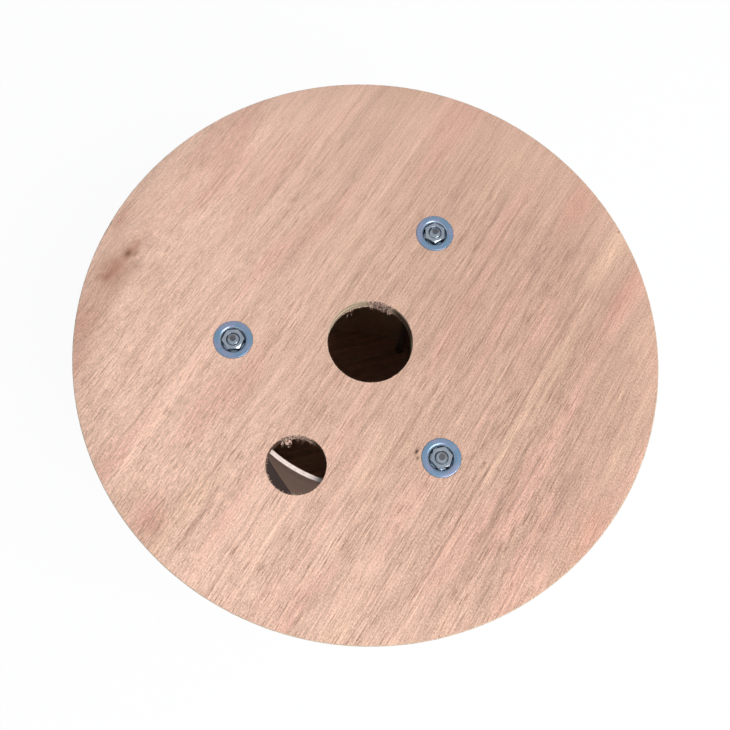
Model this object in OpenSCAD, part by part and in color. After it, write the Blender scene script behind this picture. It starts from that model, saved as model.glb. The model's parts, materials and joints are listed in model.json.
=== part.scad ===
// Wooden cable drum, standing on end. Two plywood flanges are clamped on a paperboard barrel by three tie
// bolts, whose heads and nuts sit in dished washers let into the wood. All sizes are in millimetres.
// The origin is the centre of the lower face, with +Z along the spindle.

/* [Flanges] */
// Diameter of each flange
flange_d = 300; // [240:5:450]
// Thickness of the plywood
flange_t = 9; // [8:0.5:18]
// Chamfer that breaks the edges of the sawn rim
rim_break = 0.5; // [0.2:0.1:1.5]
// Diameter of the spindle bore
bore_d = 44; // [20:1:60]

/* [Barrel] */
// Clear width between the flanges, where the cable is wound
traverse = 200; // [80:5:400]
// Outside diameter of the barrel tube
barrel_od = 153; // [120:1:200]
// Wall thickness of the barrel tube
barrel_wall = 2.5; // [1.5:0.25:5]
// Play between the tube and each side of its groove
groove_play = 0.15; // [0.05:0.05:0.4]
// Wood left between the lower washers' seats and the groove
groove_web = 1; // [0.6:0.1:3]

/* [Cable start hole] */
// Diameter of the hole for the cable's inner end
cable_hole_d = 30; // [16:1:40]
// How far the hole's centre lies inside the barrel's outer face
cable_hole_inset = 2.5; // [-10:0.5:12]

/* [Tie bolts] */
// Nominal thread diameter
bolt_d = 6; // [4:0.5:8]
// Gap between a bolt and the inside of the barrel
bolt_gap = 1.2; // [0.8:0.1:4]
// Play around a bolt in the wood and in the washers
bolt_play = 0.2; // [0.1:0.05:0.5]
// Play between a bolt and its nut
thread_play = 0.05; // [0.02:0.01:0.1]
// Width across the flats of nuts and bolt heads
hex_af = 10; // [9:0.5:13]
// Height of a bolt head
head_h = 4; // [2.5:0.1:5]
// Height of a nut
nut_h = 5; // [3:0.1:7]
// How far a bolt's end stands out of its nut
bolt_end = 1.1; // [0.8:0.1:5]
// Chamfer on a bolt's end and in a nut's bore
thread_chamfer = 0.5; // [0.3:0.1:0.7]

/* [Dished washers] */
// Thickness of the pressed sheet
sheet_t = 0.8; // [0.6:0.1:1.2]
// Width of the brim
brim_w = 2.7; // [1.5:0.1:5]
// Radius of the bend from the brim into the dish
dish_bend = 0.8; // [0.3:0.1:1.2]
// Room around a nut's corners on the floor of the dish
dish_room = 0.5; // [0.2:0.1:2]
// How much wider the dish is at its mouth than at its floor, on each side
dish_flare = 1; // [0.4:0.1:2]
// How far a bolt head lies below the brim
head_inset = 0.2; // [0.1:0.1:1]
// How far the upper brims stand above the wood
brim_proud = 0.4; // [0.1:0.1:0.6]
// Play between a washer and its seat
seat_play = 0.1; // [0.05:0.05:0.3]

/* [Hidden] */
$fn = 96;
bolt_count = 3;

plywood = [0.88, 0.74, 0.65];
paperboard = [0.93, 0.89, 0.86];
zinc = [0.62, 0.68, 0.76];

// How far cutters reach past the faces that they open
past = 1;

// Each tie bolt's direction around the spindle, and how far its nut and head happen to be turned
first_bolt_angle = 60;
function bolt_angle(i) = first_bolt_angle + 360 / bolt_count * (i - 1);
hex_turns = [30, 5, 12];

// The dish holds a whole bolt head and has room for a nut's corners
hex_corner_r = hex_af / 2 / cos(30);
bolt_hole_r = bolt_d / 2 + bolt_play;
dish_depth = head_h + head_inset;
dish_floor_r = hex_corner_r + dish_room;
dish_mouth_r = dish_floor_r + dish_flare;
washer_r = dish_mouth_r + brim_w;
washer_h = dish_depth + sheet_t;

// The barrel's ends stand on the floors of the grooves
groove_depth = flange_t - washer_h - groove_web;
barrel_r = barrel_od / 2;
barrel_ir = barrel_r - barrel_wall;
barrel_len = traverse + 2 * groove_depth;

bolt_circle_r = barrel_ir - bolt_gap - bolt_d / 2;
cable_hole_r = barrel_r - cable_hole_inset;
// The cable hole lies midway between the second and third bolts
cable_hole_angle = bolt_angle(2.5);

// Heights along the spindle
top_z = 2 * flange_t + traverse;
brim_z = top_z + brim_proud;
nut_z = brim_z - dish_depth;
bolt_top_z = nut_z + nut_h + bolt_end;

// Places a child on the axis of tie bolt i without turning it
module at_bolt(i) {
    a = bolt_angle(i);
    translate(bolt_circle_r * [cos(a), sin(a), 0])
        children();
}

// Turned disc with broken rim edges and the spindle bore, lying on z = 0
module flange_disc() {
    r = flange_d / 2;
    inner_r = r - rim_break;
    difference() {
        rotate_extrude()
            polygon([
                [0, 0], [inner_r, 0], [r, rim_break],
                [r, flange_t - rim_break], [inner_r, flange_t], [0, flange_t]
            ]);
        translate([0, 0, -past])
            cylinder(d = bore_d, h = flange_t + 2 * past);
    }
}

// Cuts the barrel's groove into the face at z = flange_t
module groove_cut() {
    translate([0, 0, flange_t - groove_depth])
        rotate_extrude()
            translate([barrel_ir - groove_play, 0])
                square([barrel_wall + 2 * groove_play, groove_depth + past]);
}

// Cuts a washer's seat into the face at z = 0, for a brim that stands out by proud, and the bolt's hole
module seat_cut(proud) {
    brim_floor = sheet_t - proud;
    dish_floor = washer_h - proud;
    outer = sheet_t + seat_play;
    rotate_extrude()
        polygon([
            [0, -past], [washer_r + seat_play, -past], [washer_r + seat_play, brim_floor],
            [dish_mouth_r + outer, brim_floor], [dish_floor_r + outer, dish_floor],
            [bolt_hole_r, dish_floor], [bolt_hole_r, flange_t + past], [0, flange_t + past]
        ]);
}

// A flange with its outer face at z = 0
module flange(proud) {
    difference() {
        flange_disc();
        groove_cut();
        for (i = [1:bolt_count])
            at_bolt(i)
                seat_cut(proud);
    }
}

module flange_bottom() {
    color(plywood)
        flange(0);
}

module flange_top() {
    color(plywood)
        difference() {
            translate([0, 0, top_z])
                mirror([0, 0, 1])
                    flange(brim_proud);
            rotate(cable_hole_angle)
                translate([cable_hole_r, 0, top_z - flange_t - past])
                    cylinder(d = cable_hole_d, h = flange_t + 2 * past);
        }
}

module barrel() {
    color(paperboard)
        translate([0, 0, flange_t - groove_depth])
            difference() {
                cylinder(r = barrel_r, h = barrel_len);
                translate([0, 0, -past])
                    cylinder(r = barrel_ir, h = barrel_len + 2 * past);
            }
}

// Sliver that rounds a profile's corner to radius r, between edges that leave it at angles a and b
module corner_cut(corner, a, b, r) {
    half = (b - a) / 2;
    reach = r / tan(half);
    centre = corner + r / sin(half) * [cos(a + half), sin(a + half)];
    difference() {
        polygon([corner, corner + reach * [cos(a), sin(a)], centre, corner + reach * [cos(b), sin(b)]]);
        translate(centre)
            circle(r = r);
    }
}

// Pressed washer with its brim's face at z = 0 and its dish reaching up from there
module dished_washer() {
    wall_angle = 90 + atan(dish_flare / dish_depth);
    color(zinc)
        rotate_extrude()
            difference() {
                polygon([
                    [bolt_hole_r, dish_depth], [dish_floor_r, dish_depth], [dish_mouth_r, 0], [washer_r, 0],
                    [washer_r, sheet_t], [dish_mouth_r + sheet_t, sheet_t],
                    [dish_floor_r + sheet_t, washer_h], [bolt_hole_r, washer_h]
                ]);
                corner_cut([dish_mouth_r, 0], 0, wall_angle, dish_bend);
                corner_cut([washer_r, 0], 90, 180, sheet_t / 2);
                corner_cut([dish_floor_r + sheet_t, washer_h], 180, 180 + wall_angle, dish_bend);
            }
}

module washer_bottom(i) {
    at_bolt(i)
        dished_washer();
}

module washer_top(i) {
    at_bolt(i)
        translate([0, 0, brim_z])
            mirror([0, 0, 1])
                dished_washer();
}

// Hexagon whose corners are turned off at 30 degrees on the face at z = 0, and on the other face if both
module hexagon(h, both) {
    face_r = 0.95 * hex_af / 2;
    wide_r = hex_corner_r + past;
    rise = (wide_r - face_r) * tan(30);
    intersection() {
        cylinder(r = hex_corner_r, h = h, $fn = 6);
        rotate_extrude()
            polygon(concat(
                [[0, 0], [face_r, 0], [wide_r, rise]],
                both ? [[wide_r, h - rise], [face_r, h]] : [[wide_r, h]],
                [[0, h]]
            ));
    }
}

module tie_bolt(i) {
    r = bolt_d / 2;
    color(zinc)
        at_bolt(i) {
            translate([0, 0, head_inset])
                rotate(hex_turns[i - 1])
                    hexagon(head_h, false);
            rotate_extrude()
                polygon([
                    [0, dish_depth - head_h / 2], [r, dish_depth - head_h / 2],
                    [r, bolt_top_z - thread_chamfer], [r - thread_chamfer, bolt_top_z], [0, bolt_top_z]
                ]);
        }
}

module nut(i) {
    r = bolt_d / 2 + thread_play;
    mouth_r = r + thread_chamfer;
    color(zinc)
        at_bolt(i)
            translate([0, 0, nut_z])
                difference() {
                    rotate(hex_turns[i - 1])
                        hexagon(nut_h, true);
                    rotate_extrude()
                        polygon([
                            [0, -past], [mouth_r, -past], [mouth_r, 0], [r, thread_chamfer],
                            [r, nut_h - thread_chamfer], [mouth_r, nut_h], [mouth_r, nut_h + past],
                            [0, nut_h + past]
                        ]);
                }
}

flange_top();
flange_bottom();
barrel();
for (i = [1:bolt_count]) {
    tie_bolt(i);
    washer_top(i);
    washer_bottom(i);
    nut(i);
}
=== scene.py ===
import json
import math
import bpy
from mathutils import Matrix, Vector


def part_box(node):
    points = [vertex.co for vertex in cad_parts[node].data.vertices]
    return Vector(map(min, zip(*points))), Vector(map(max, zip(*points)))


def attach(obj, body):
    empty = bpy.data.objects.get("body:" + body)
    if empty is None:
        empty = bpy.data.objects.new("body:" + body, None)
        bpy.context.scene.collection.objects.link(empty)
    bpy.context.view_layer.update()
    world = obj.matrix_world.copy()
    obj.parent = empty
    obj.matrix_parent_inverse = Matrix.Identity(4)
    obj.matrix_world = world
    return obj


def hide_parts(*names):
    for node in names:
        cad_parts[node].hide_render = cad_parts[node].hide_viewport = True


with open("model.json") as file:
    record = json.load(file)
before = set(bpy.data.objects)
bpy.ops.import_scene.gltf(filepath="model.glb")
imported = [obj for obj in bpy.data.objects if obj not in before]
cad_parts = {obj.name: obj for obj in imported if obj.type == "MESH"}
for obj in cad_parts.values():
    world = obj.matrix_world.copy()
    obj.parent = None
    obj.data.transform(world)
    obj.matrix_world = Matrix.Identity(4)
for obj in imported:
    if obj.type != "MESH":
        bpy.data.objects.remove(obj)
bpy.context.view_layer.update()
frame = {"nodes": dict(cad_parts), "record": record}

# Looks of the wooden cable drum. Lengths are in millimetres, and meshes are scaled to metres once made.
from types import SimpleNamespace

import bmesh
import bpy
import numpy as np
from mathutils import Matrix, Vector

MM = 0.001
TAU = 2 * math.pi
BOLTS = (1, 2, 3)


def node_box(name):
    """Lowest and highest corner of a CAD node, in millimetres."""
    low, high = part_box(name)
    return low / MM, high / MM


# Sizes read from the frame
FLANGE_LOW, FLANGE_HIGH = node_box("flange_top")
FLANGE_R = FLANGE_HIGH.x
FLANGE_T = FLANGE_HIGH.z - FLANGE_LOW.z
TOP_Z = FLANGE_HIGH.z
BARREL_LOW, BARREL_HIGH = node_box("barrel")
BARREL_R = BARREL_HIGH.x
GROOVE_DEPTH = BARREL_HIGH.z - FLANGE_LOW.z
BORE_R = frame["record"]["mounts"][0]["dims"]["r_mm"]
WASHER_LOW, WASHER_HIGH = node_box("washer_top_1")
WASHER_R = (WASHER_HIGH.x - WASHER_LOW.x) / 2
WASHER_H = WASHER_HIGH.z - WASHER_LOW.z
BRIM_Z = WASHER_HIGH.z
BRIM_PROUD = BRIM_Z - TOP_Z
BOLT_TOP_Z = node_box("tie_bolt_1")[1].z

# Sizes that the frame's boxes don't give
BARREL_WALL = 2.5
GROOVE_PLAY = 0.15
RIM_BREAK = 0.5
BORE = (0, 0)
CABLE_HOLE_R = 15.0
CABLE_HOLE_OUT = 74.0
CABLE_HOLE_ANGLE = math.radians(240)
CABLE_HOLE = Vector((math.cos(CABLE_HOLE_ANGLE), math.sin(CABLE_HOLE_ANGLE))) * CABLE_HOLE_OUT
SHEET_T = 0.8
DISH_FLOOR_R = 6.27
DISH_MOUTH_R = 7.27
BOLT_R = 3.0
BOLT_HOLE_R = 3.2
SEAT_PLAY = 0.1
HEX_AF = 10.0
HEAD_H = 4.0
HEAD_INSET = 0.2
HEX_TURN = {1: math.radians(30), 2: math.radians(5), 3: math.radians(12)}

# Plywood: thin face veneers on three thick core plies
CORE_PLIES = 3
FACE_PLY = 0.6
CORE_PLY = (FLANGE_T - 2 * FACE_PLY) / CORE_PLIES
GLUE_LINES = [FACE_PLY + CORE_PLY * i for i in range(CORE_PLIES + 1)]
GRAIN_ANGLE = math.radians(57.5)
LOW_GRAIN_ANGLE = math.radians(14)


def bolt_place(i):
    """Axis of tie bolt i, in the plane."""
    low, high = node_box(f"tie_bolt_{i}")
    return Vector(((low.x + high.x) / 2, (low.y + high.y) / 2))


# Meshes

RING_WAVES = 14
RING_NOISE_PEAK = 1.6
SECTOR_SLOPE = 1.5
SMOOTH_FROM = 40


def ring(radius, z, cols, centre=(0, 0)):
    """Points around a circle. radius may hold one value per point."""
    angles = np.arange(cols) * TAU / cols
    radius = np.broadcast_to(radius, cols)
    z = np.broadcast_to(z, cols)
    return np.stack([centre[0] + radius * np.cos(angles), centre[1] + radius * np.sin(angles), z], 1)


def lathe_faces(rows, cols, closed):
    """Quads that join rows of points around an axis, the last row to the first if closed."""
    faces = []
    for r in range(rows if closed else rows - 1):
        s = (r + 1) % rows
        for c in range(cols):
            d = (c + 1) % cols
            faces.append((r * cols + c, r * cols + d, s * cols + d, s * cols + c))
    return faces


class Shape:
    """Points and faces of a mesh under construction."""

    def __init__(self):
        self.points = []
        self.faces = []

    def add(self, points, faces):
        start = len(self.points)
        self.points.extend(tuple(p) for p in points)
        self.faces.extend(tuple(start + i for i in f) for f in faces)

    def mesh(self, name):
        mesh = bpy.data.meshes.new(name)
        mesh.from_pydata([Vector(p) * MM for p in self.points], [], self.faces)
        tidy_normals(mesh)
        return mesh


def lathe_mesh(name, rows, closed):
    """Mesh of rows of points around an axis, with flat ends unless closed."""
    cols = len(rows[0])
    faces = lathe_faces(len(rows), cols, closed)
    if not closed:
        last = (len(rows) - 1) * cols
        faces.append(tuple(reversed(range(cols))))
        faces.append(tuple(range(last, last + cols)))
    shape = Shape()
    shape.add(np.concatenate(rows), faces)
    return shape.mesh(name)


def tidy_normals(mesh):
    bm = bmesh.new()
    bm.from_mesh(mesh)
    bmesh.ops.recalc_face_normals(bm, faces=bm.faces)
    bm.to_mesh(mesh)
    bm.free()


def new_object(name, data):
    obj = bpy.data.objects.new(name, data)
    bpy.context.scene.collection.objects.link(obj)
    return obj


def smooth(mesh, degrees=SMOOTH_FROM):
    """Smooth shading, with sharp edges past an angle."""
    mesh.polygons.foreach_set("use_smooth", [True] * len(mesh.polygons))
    mesh.set_sharp_from_angle(angle=math.radians(degrees))


def cut(obj, cutter_mesh):
    """Takes a closed mesh out of an object for good."""
    cutter = new_object("cutter", cutter_mesh)
    modifier = obj.modifiers.new("cut", "BOOLEAN")
    modifier.operation = "DIFFERENCE"
    modifier.solver = "EXACT"
    modifier.object = cutter
    depsgraph = bpy.context.evaluated_depsgraph_get()
    result = bpy.data.meshes.new_from_object(obj.evaluated_get(depsgraph))
    obj.modifiers.clear()
    old = obj.data
    obj.data = result
    result.name = old.name
    bpy.data.meshes.remove(old)
    bpy.data.objects.remove(cutter)
    bpy.data.meshes.remove(cutter_mesh)


def place_piece(obj, slot, *nodes):
    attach(obj, "root")
    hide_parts(*nodes)


def ring_noise(cols, rng, bumps):
    """Smooth random values around a ring with about that many bumps, mostly from -1 to 1."""
    angles = np.arange(cols) * TAU / cols
    total = np.zeros(cols)
    for _ in range(RING_WAVES):
        cycles = rng.integers(max(1, bumps // 2), bumps * 2)
        total += np.cos(cycles * angles + rng.uniform(0, TAU))
    return total / math.sqrt(RING_WAVES / 2) / RING_NOISE_PEAK


def sector(cols, middle, half_width):
    """1 in the middle of a sector of a ring, falling to 0 at its ends. Angles are in degrees."""
    angles = np.degrees(np.arange(cols) * TAU / cols)
    off = np.abs((angles - middle + 180) % 360 - 180)
    return np.clip(SECTOR_SLOPE * (1 - off / half_width), 0, 1)


# Flanges

TOP_SEED = 11
BOTTOM_SEED = 23
RIM_COLS = 960
HOLE_COLS = 288
SEAT_COLS = 96
CUT_PAST = 2.0
INNER_FACE_ROWS = (26, 50)
OUTER_FACE_ROWS = (90, 130)
FLANGE_SMOOTH = 35
FACE_LIMIT = 0.01
FACE_INDEX, EDGE_INDEX, FIBRE_INDEX = 0, 1, 2

# Sawn edge: depth of its first row of points, glue lines, pulled fibres and chips
EDGE_ROW = 0.25
GLUE_HALF = 0.12
GLUE_SINK = 0.13
PULLED_DEPTH = 0.03
CHIP_DEPTH = 0.7
CHIPS_FROM = 0.75
LOW_CHIPS_FROM = 0.7
STEP_IN = 0.3
STEP_DEPTH = 0.08
BREAK_SHARE = 0.6

# Drilled edge: how far its lips stand in where they are rough, torn or chipped
HOLE_CHIPS_FROM = 0.5
LIP_ROUGH = 0.12
LIP_TORN = 0.5
LIP_CHIP = 0.5
LIP_CHIP_MIN = 0.3
EXIT_ROUGH = 0.1
EXIT_TORN = 0.25
WALL_RELIEF = 0.25

# Torn sectors of the holes, as (middle, half width) in degrees
TORN_BORE = (84, 48)
TORN_LOWER_BORE = (250, 40)
TORN_CABLE_HOLE = (86, 60)


def ply_levels():
    """Depths below the outer face where a sawn or drilled edge has a row of points."""
    levels = [EDGE_ROW]
    for line in GLUE_LINES:
        levels += [line - GLUE_HALF, line, line + GLUE_HALF]
    for line in GLUE_LINES[:CORE_PLIES]:
        levels.append(line + CORE_PLY / 2)
    levels.append(FLANGE_T - EDGE_ROW)
    return sorted(levels)


def edge_relief(cols, depth, rng):
    """How far the sawn edge sinks in at one depth: pulled fibres, and glue lines."""
    sink = PULLED_DEPTH * (1 + ring_noise(cols, rng, bumps=90))
    if depth in GLUE_LINES:
        sink = sink + GLUE_SINK
    return sink


def rim_chips(first, rng):
    return CHIP_DEPTH * np.clip(ring_noise(RIM_COLS, rng, bumps=120) - first, 0, 1)


def rim_rows(rng):
    """Rows of the rim from the outer face to the inner one, as (radius, depth)."""
    chips = rim_chips(CHIPS_FROM, rng)
    low_chips = rim_chips(LOW_CHIPS_FROM, rng)
    rows = [(FLANGE_R - RIM_BREAK - chips, 0.0), (FLANGE_R - STEP_IN - chips, STEP_DEPTH)]
    for depth in ply_levels():
        bevel = max(0.0, RIM_BREAK - min(depth, FLANGE_T - depth)) * BREAK_SHARE
        rows.append((FLANGE_R - bevel - edge_relief(RIM_COLS, depth, rng), depth))
    rows.append((FLANGE_R - STEP_IN - low_chips, FLANGE_T - STEP_DEPTH))
    rows.append((FLANGE_R - RIM_BREAK - low_chips, FLANGE_T))
    return rows


def hole_rows(radius, cols, torn, rng):
    """Rows of a drilled hole's wall from the inner face to the outer one, as (radius, depth)."""
    tear = sector(cols, *torn)
    rough = np.abs(ring_noise(cols, rng, bumps=70))
    chips = np.clip(ring_noise(cols, rng, bumps=40) - HOLE_CHIPS_FROM, 0, 1)
    exit_tear = tear * np.abs(ring_noise(cols, rng, bumps=60))
    lip = radius - LIP_ROUGH * rough - LIP_TORN * tear * rough + LIP_CHIP * chips * (LIP_CHIP_MIN + tear)
    exit_lip = radius - EXIT_ROUGH * rough[::-1] - EXIT_TORN * exit_tear
    rows = [(exit_lip + 0.1, FLANGE_T), (exit_lip, FLANGE_T - 0.15)]
    for depth in reversed(ply_levels()):
        rows.append((radius + WALL_RELIEF * edge_relief(cols, depth, rng), depth))
    rows += [(lip, 0.1), (lip + 0.12, 0.0)]
    return rows


def flange_mesh(name, torn, rng):
    """Turned flange with its outer face at z = 0, without bolt seats or cable hole."""
    inner = BARREL_R - BARREL_WALL - GROOVE_PLAY
    outer = BARREL_R + GROOVE_PLAY
    floor = FLANGE_T - GROOVE_DEPTH
    profile = [(r, 0.0) for r in INNER_FACE_ROWS + OUTER_FACE_ROWS]
    profile += rim_rows(rng)
    profile += [(r, FLANGE_T) for r in reversed(OUTER_FACE_ROWS)]
    profile += [(outer, FLANGE_T), (outer, floor), (inner, floor), (inner, FLANGE_T)]
    profile += [(r, FLANGE_T) for r in reversed(INNER_FACE_ROWS)]
    profile += hole_rows(BORE_R, RIM_COLS, torn, rng)
    return lathe_mesh(name, [ring(r, -depth, RIM_COLS) for r, depth in profile], closed=True)


def seat_cutter(i, proud):
    """Seat of a dished washer with the bolt's hole, for an outer face at z = 0."""
    brim_r = WASHER_R + SEAT_PLAY
    brim_floor = SHEET_T - proud
    dish_floor = WASHER_H - proud
    grown = SHEET_T + SEAT_PLAY
    profile = [(brim_r, CUT_PAST), (brim_r, -brim_floor), (DISH_MOUTH_R + grown, -brim_floor)]
    profile += [(DISH_FLOOR_R + grown, -dish_floor), (BOLT_HOLE_R, -dish_floor)]
    profile.append((BOLT_HOLE_R, -FLANGE_T - CUT_PAST))
    rows = [ring(r, z, SEAT_COLS, bolt_place(i)) for r, z in profile]
    return lathe_mesh("seat_cutter", rows, closed=False)


def cable_hole_cutter(rng):
    rows = hole_rows(CABLE_HOLE_R, HOLE_COLS, TORN_CABLE_HOLE, rng)
    rows = [(rows[0][0], FLANGE_T + CUT_PAST)] + rows + [(rows[-1][0], -CUT_PAST)]
    rows = [ring(r, -depth, HOLE_COLS, CABLE_HOLE) for r, depth in rows]
    return lathe_mesh("cable_hole_cutter", rows, closed=False)


# Tufts at a hole's edge, as (middle, half width, count, longest), with angles in degrees
BORE_TUFTS = (
    (74, 14, 46, 1.9), (62, 5, 16, 2.4), (119, 4, 5, 3.2), (116, 20, 18, 1.0), (200, 160, 24, 0.8),
)
BORE_LIP_TUFTS = ((74, 17, 90, 1.6), (200, 170, 40, 0.6))
LOWER_BORE_TUFTS = ((250, 30, 30, 2.0), (70, 14, 14, 1.6))
CABLE_HOLE_TUFTS = (
    (60, 10, 16, 1.6), (77, 2, 3, 3.2), (86, 3, 5, 2.4), (119, 4, 6, 3.0), (230, 120, 24, 0.8),
)
CABLE_HOLE_LIP_TUFTS = ((62, 12, 26, 1.2), (100, 30, 40, 1.2), (268, 24, 36, 1.8), (205, 40, 40, 1.3))
TUFT_DEPTH = 0.4
LIP_TUFT_DEPTH = 0.3
TUFT_ROOT = 0.4

# Loose fibres on a hole's wall, as (from, to, count, longest), with angles in degrees
BORE_SHAG = (59, 92, 210, 2.4)
CABLE_HOLE_SHAG = (66, 112, 170, 1.9)
SHAG_ROOT = 0.25
SHAG_OUT = 0.55
SHAG_DROOP = 0.3

# Tongue of veneer, made of fibres side by side
TAB_ANGLE = math.radians(107)
TAB_FIBRES = 11
TAB_LONGEST = 6
TAB_PITCH = 0.36
TAB_LENGTH = 4.6
TAB_TAPER = 0.45
TAB_FIBRE_WIDTH = 0.75
TAB_DROOP = 0.2

FIBRE_STATIONS = 5
FIBRE_SIDES = 4
FIBRE_SWAY = 0.12
FIBRE_TAPER = 0.75
FIBRE_FLATNESS = 0.5


def splinter(shape, base, direction, length, width, droop, rng):
    """Adds a tapered fibre that starts at base and bends down by droop times its length."""
    direction = np.array(direction, float)
    direction /= np.linalg.norm(direction)
    side = np.cross(direction, (0, 0, 1.0))
    side /= np.linalg.norm(side) + 1e-9
    points = []
    sway = rng.normal(0, FIBRE_SWAY)
    for k in range(FIBRE_STATIONS):
        t = k / FIBRE_STATIONS
        middle = np.array(base) + direction * length * t + side * sway * length * t * t
        middle[2] -= droop * length * t * t
        half = width / 2 * (1 - FIBRE_TAPER * t)
        thick = FIBRE_FLATNESS * half
        points += [middle + side * half, middle + (0, 0, thick), middle - side * half, middle - (0, 0, thick)]
    tip = np.array(base) + direction * length + side * sway * length
    tip[2] -= droop * length
    points.append(tip)
    shape.add(points, splinter_faces())


def splinter_faces():
    """Faces of a fibre: its root, its sides and its tip."""
    last = FIBRE_SIDES * (FIBRE_STATIONS - 1)
    tip = last + FIBRE_SIDES
    faces = [tuple(range(FIBRE_SIDES))]
    faces += lathe_faces(FIBRE_STATIONS, FIBRE_SIDES, closed=False)
    faces += [(last + c, tip, last + (c + 1) % FIBRE_SIDES) for c in range(FIBRE_SIDES)]
    return faces


def torn_fibres(shape, centre, radius, depth, tufts, rng):
    """Adds tufts of fibres to a hole's edge at that depth."""
    root = radius + TUFT_ROOT
    for middle, half, count, longest in tufts:
        for _ in range(count):
            a = math.radians(middle + half * np.clip(rng.normal(0, 0.5), -1, 1))
            inward = a + rng.normal(0, 0.4)
            direction = (-math.cos(inward), -math.sin(inward), rng.uniform(-0.5, 0.05))
            height = rng.uniform(-0.1, 0.2) - depth
            base = (centre[0] + root * math.cos(a), centre[1] + root * math.sin(a), height)
            length = TUFT_ROOT + longest * rng.uniform(0.25, 1.0)
            width = rng.uniform(0.18, 0.5)
            droop = rng.uniform(0.0, 0.7)
            splinter(shape, base, direction, length, width, droop, rng)


def shaggy_wall(shape, centre, radius, shag, rng):
    """Adds loose fibres that hang down over a part of a hole's wall."""
    first, last, count, longest = shag
    root = radius + SHAG_ROOT
    for _ in range(count):
        a = math.radians(rng.uniform(first, last))
        inward = a + rng.normal(0, 0.5)
        direction = (-SHAG_OUT * math.cos(inward), -SHAG_OUT * math.sin(inward), rng.uniform(-1.0, -0.3))
        height = -rng.uniform(0.2, FLANGE_T - 0.8)
        base = (centre[0] + root * math.cos(a), centre[1] + root * math.sin(a), height)
        length = longest * rng.uniform(0.4, 1.0)
        width = rng.uniform(0.2, 0.5)
        splinter(shape, base, direction, length, width, SHAG_DROOP, rng)


def torn_tab(shape, rng):
    """Adds the tongue of veneer that hangs into the cable hole from its inner edge."""
    out = np.array((math.cos(TAB_ANGLE), math.sin(TAB_ANGLE)))
    across = np.array((-math.sin(TAB_ANGLE), math.cos(TAB_ANGLE)))
    root = np.array(CABLE_HOLE) + (CABLE_HOLE_R + 0.3) * out
    for k in range(TAB_FIBRES):
        base = root + across * ((k - TAB_FIBRES // 2) * TAB_PITCH)
        length = TAB_LENGTH - TAB_TAPER * abs(k - TAB_LONGEST) + rng.uniform(-0.5, 0.6)
        start = (*base, -FLANGE_T + TUFT_DEPTH)
        splinter(shape, start, (*-out, -0.25), length, TAB_FIBRE_WIDTH, TAB_DROOP, rng)


def top_fibres(rng):
    """Fibres of the upper flange, at both edges of its holes and on their walls."""
    fibres = Shape()
    at_bore = (fibres, BORE, BORE_R)
    at_hole = (fibres, CABLE_HOLE, CABLE_HOLE_R)
    exit_depth = FLANGE_T - TUFT_DEPTH
    torn_fibres(*at_bore, exit_depth, BORE_TUFTS, rng)
    torn_fibres(*at_bore, TUFT_DEPTH, BORE_LIP_TUFTS, rng)
    torn_fibres(*at_hole, exit_depth, CABLE_HOLE_TUFTS, rng)
    torn_fibres(*at_hole, LIP_TUFT_DEPTH, CABLE_HOLE_LIP_TUFTS, rng)
    torn_tab(fibres, rng)
    shaggy_wall(*at_bore, BORE_SHAG, rng)
    shaggy_wall(*at_hole, CABLE_HOLE_SHAG, rng)
    return fibres.mesh("fibres")


def finish_flange(obj, fibres, materials, to_frame):
    """Joins the fibres, moves the flange to its place and hands out its materials."""
    bm = bmesh.new()
    bm.from_mesh(obj.data)
    for f in bm.faces:
        depth = -f.calc_center_median().z / MM
        on_face = min(abs(depth), abs(depth - FLANGE_T)) < FACE_LIMIT
        f.material_index = FACE_INDEX if on_face and abs(f.normal.z) > 0.9 else EDGE_INDEX
    first = len(bm.faces)
    bm.from_mesh(fibres)
    bm.faces.ensure_lookup_table()
    for f in bm.faces[first:]:
        f.material_index = FIBRE_INDEX
    bm.transform(to_frame)
    bmesh.ops.recalc_face_normals(bm, faces=bm.faces)
    obj.data.materials.clear()
    for material in materials:
        obj.data.materials.append(material)
    bm.to_mesh(obj.data)
    bm.free()
    smooth(obj.data, FLANGE_SMOOTH)


def make_flange_top(materials):
    rng = np.random.default_rng(TOP_SEED)
    obj = new_object("plywood_flange_top", flange_mesh("plywood_flange_top", TORN_BORE, rng))
    for i in BOLTS:
        cut(obj, seat_cutter(i, BRIM_PROUD))
    cut(obj, cable_hole_cutter(rng))
    to_frame = Matrix.Translation((0, 0, TOP_Z * MM))
    finish_flange(obj, top_fibres(rng), materials, to_frame)
    place_piece(obj, "plywood", "flange_top")


def make_flange_bottom(materials):
    rng = np.random.default_rng(BOTTOM_SEED)
    obj = new_object("plywood_flange_bottom", flange_mesh("plywood_flange_bottom", TORN_LOWER_BORE, rng))
    for i in BOLTS:
        cut(obj, seat_cutter(i, 0))
    fibres = Shape()
    torn_fibres(fibres, BORE, BORE_R, FLANGE_T - TUFT_DEPTH, LOWER_BORE_TUFTS, rng)
    mirror = Matrix.Scale(-1, 4, (0, 0, 1))
    finish_flange(obj, fibres.mesh("fibres"), materials, mirror)
    place_piece(obj, "plywood", "flange_bottom")


# Barrel

BARREL_COLS = 360
BARREL_ROWS = 52
OUTSIDE_SLACK = 0.05
INSIDE_SLACK = 0.02
CUT_EDGE_SHARES = (0.66, 0.33)
# Dark strip of painted shade, a little proud of the paper: thickness, and in degrees its edge at the upper
# face, its turn per millimetre down and its width
SHADE_STRIP_T = 0.15
SHADE_STRIP_EDGE = -137.4
SHADE_STRIP_TURN = 0.158
SHADE_STRIP_WIDTH = 26.0


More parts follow.
